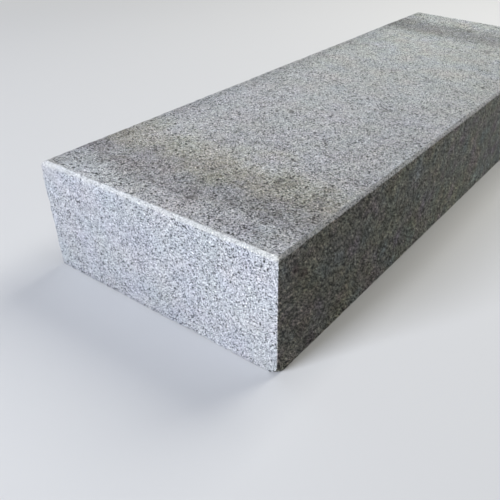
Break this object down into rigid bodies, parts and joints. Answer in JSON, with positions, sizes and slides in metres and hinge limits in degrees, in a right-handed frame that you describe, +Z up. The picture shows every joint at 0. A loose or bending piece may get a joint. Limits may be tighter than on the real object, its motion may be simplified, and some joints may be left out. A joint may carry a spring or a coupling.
{
  "type": "granite kerb stone",
  "caption": "Sawn granite kerb block with a rough textured top and arrised top edges, laid end to end to edge a road or path.",
  "frame": {"origin": "middle of the sawn bed that the stone rests on", "axes": "+Z up out of the textured top, +Y along the stone's length, +X across it from the kerb face to the back"},
  "size_m": [0.35, 1, 0.15],
  "materials": {
    "granite": "rough textured top, sawn sides and ends"
  },
  "bodies": {
    "root": {"kerb_stone": "granite"}
  },
  "joints": []
}
